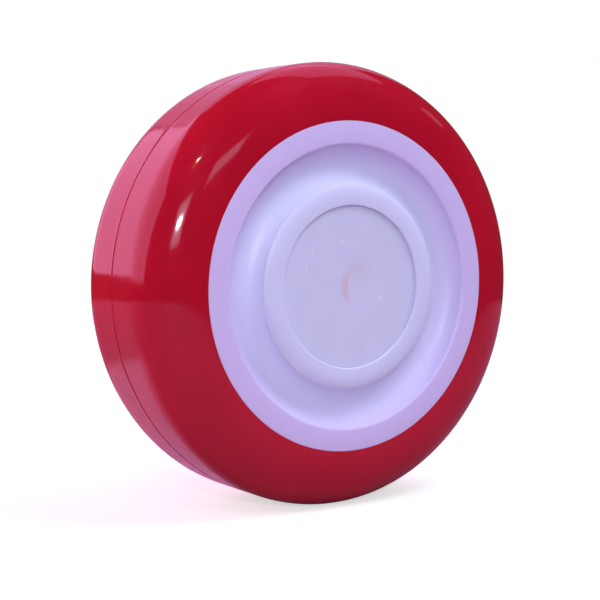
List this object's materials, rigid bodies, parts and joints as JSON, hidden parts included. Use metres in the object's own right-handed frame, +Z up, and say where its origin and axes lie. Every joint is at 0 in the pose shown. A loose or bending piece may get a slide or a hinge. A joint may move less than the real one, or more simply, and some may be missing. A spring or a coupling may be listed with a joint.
{
  "type": "caster wheel",
  "caption": "Caster wheel with a rounded glossy red tread, a grooved white plastic core, ball bearings and a sunk hub cap that closes one side.",
  "frame": {"origin": "centre of the wheel, on the axle line, midway between the two faces", "axes": "+Y along the axle out of the open side of the hub, hub cap on the -Y side, +Z up"},
  "size_m": [0.1, 0.0362, 0.1],
  "materials": {
    "tread": "glossy cast polyurethane",
    "core": "satin moulded white",
    "hub_cap": "milky translucent",
    "sleeve_steel": "zinc plated",
    "ring_steel": "ground",
    "ball_steel": "polished",
    "cage_steel": "pressed",
    "rivet_steel": "pressed",
    "shield_steel": "pressed"
  },
  "bodies": {
    "axle_sleeve": {"spacer_sleeve": "sleeve_steel", "outboard_inner_ring": "ring_steel", "inboard_inner_ring": "ring_steel"},
    "wheel": {"tread": "tread", "core": "core", "outboard_outer_ring": "ring_steel", "inboard_outer_ring": "ring_steel", "outboard_shield_front": "shield_steel", "outboard_shield_rear": "shield_steel", "inboard_shield_front": "shield_steel", "inboard_shield_rear": "shield_steel"},
    "outboard_cage": {"outboard_balls": "ball_steel", "outboard_cage_outer_half": "cage_steel", "outboard_cage_inner_half": "cage_steel", "outboard_cage_rivets": "rivet_steel"},
    "inboard_cage": {"inboard_balls": "ball_steel", "inboard_cage_outer_half": "cage_steel", "inboard_cage_inner_half": "cage_steel", "inboard_cage_rivets": "rivet_steel"},
    "cap": {"hub_cap": "hub_cap"}
  },
  "joints": [
    {"name": "wheel_spin", "type": "hinge", "parent": "axle_sleeve", "child": "wheel", "pos_m": [0, 0, 0], "axis": [0, 1, 0], "continuous": true},
    {"name": "outboard_cage_spin", "type": "hinge", "parent": "axle_sleeve", "child": "outboard_cage", "pos_m": [0, -0.0075, 0], "axis": [0, 1, 0], "continuous": true},
    {"name": "inboard_cage_spin", "type": "hinge", "parent": "axle_sleeve", "child": "inboard_cage", "pos_m": [0, 0.0075, 0], "axis": [0, 1, 0], "continuous": true},
    {"name": "hub_cap_pull", "type": "slide", "parent": "wheel", "child": "cap", "axis": [0, -1, 0], "range_m": [0, 0.03]}
  ],
  "couplings": [
    {"joint": "outboard_cage_spin", "follows": "wheel_spin", "ratio": 0.61906},
    {"joint": "inboard_cage_spin", "follows": "wheel_spin", "ratio": 0.61906}
  ]
}
